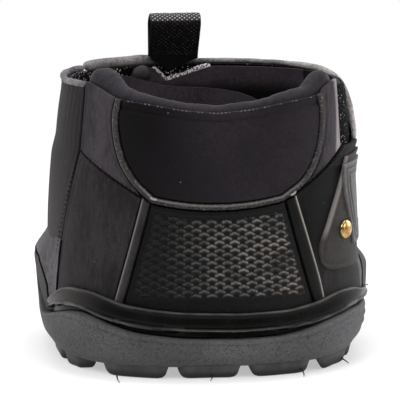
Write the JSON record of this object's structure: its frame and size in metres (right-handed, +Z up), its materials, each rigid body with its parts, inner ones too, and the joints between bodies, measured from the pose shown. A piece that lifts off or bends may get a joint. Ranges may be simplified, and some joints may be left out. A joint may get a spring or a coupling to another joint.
{
  "type": "horse hoof boot",
  "caption": "Hoof boot with a lugged rubber sole cup, sewn upper, padded collar, wrap-round front flap, inner flap, tongue and webbing pull loop.",
  "frame": {"origin": "on the ground, under the middle of the sole cup's bounding box", "axes": "+X to the boot's right as seen from behind, +Y forwards to the toe, +Z up"},
  "size_m": [0.1501, 0.1496, 0.1464],
  "materials": {
    "sole_rubber": "matte, finely pebbled",
    "rand_rubber": "smooth, low sheen",
    "insole_board": "raw fibre board",
    "footbed_foam": "matte foam",
    "embossed_leather": "embossed, glossy",
    "collar_leather": "smooth, soft sheen",
    "smooth_leather": "smooth with a faint grain",
    "grained_leather": "oiled, coarse grain",
    "trim_binding": "matte grey binding",
    "lining_cloth": "smooth lining cloth",
    "loop_pile": "looped pile",
    "black_webbing": "woven webbing",
    "brass": "polished"
  },
  "bodies": {
    "boot_body": {"outsole": "sole_rubber", "insole_board": "insole_board", "footbed": "footbed_foam", "collar_pad": "collar_leather", "collar_binding": "trim_binding", "heel_panel": "embossed_leather", "heel_trim_right": "trim_binding", "heel_trim_left": "trim_binding", "wing_right": "smooth_leather", "wing_left": "smooth_leather", "quarter_right": "grained_leather", "quarter_left": "grained_leather", "heel_liner": "lining_cloth", "collar_roll": "collar_leather", "heel_rand": "rand_rubber", "left_vamp": "smooth_leather", "left_vamp_pile": "loop_pile", "left_vamp_binding": "trim_binding", "right_vamp": "grained_leather", "right_loop_field": "loop_pile", "toe_box": "grained_leather", "toe_lining": "lining_cloth", "side_overlay": "smooth_leather", "rivet": "brass", "rivet_burr": "brass"},
    "outer_closure": {"outer_flap": "grained_leather", "outer_flap_pile": "loop_pile", "outer_flap_binding": "trim_binding", "flap_end_tab": "rand_rubber", "pull_loop_tail": "black_webbing"},
    "inner_closure": {"inner_flap_right": "lining_cloth", "inner_flap_pile": "loop_pile"},
    "tongue_closure": {"tongue": "lining_cloth"},
    "loop_body": {"pull_loop": "black_webbing"}
  },
  "joints": [
    {"name": "outer_flap_hinge", "type": "hinge", "parent": "boot_body", "child": "outer_closure", "pos_m": [-0.06202, 0.03585, 0.0523], "axis": [0.1065, -0.0585, 0.9926], "range_deg": [0, 120]},
    {"name": "inner_flap_hinge", "type": "hinge", "parent": "boot_body", "child": "inner_closure", "pos_m": [0.05888, 0.03389, 0.0523], "axis": [-0.1007, -0.0662, 0.9927], "range_deg": [-60, 0]},
    {"name": "tongue_hinge", "type": "hinge", "parent": "boot_body", "child": "tongue_closure", "pos_m": [-0.05532, 0.03166, 0.0523], "axis": [0.094, -0.0749, 0.9927], "range_deg": [0, 24]},
    {"name": "pull_loop_hinge", "type": "hinge", "parent": "outer_closure", "child": "loop_body", "pos_m": [-0.00794, 0.04478, 0.1264], "axis": [0.9979, 0.0644, 0], "range_deg": [-60, 45], "stiffness_Nm_per_rad": 0.003}
  ],
  "couplings": [
    {"joint": "inner_flap_hinge", "follows": "outer_flap_hinge", "ratio": -0.5},
    {"joint": "tongue_hinge", "follows": "outer_flap_hinge", "ratio": 0.2}
  ]
}
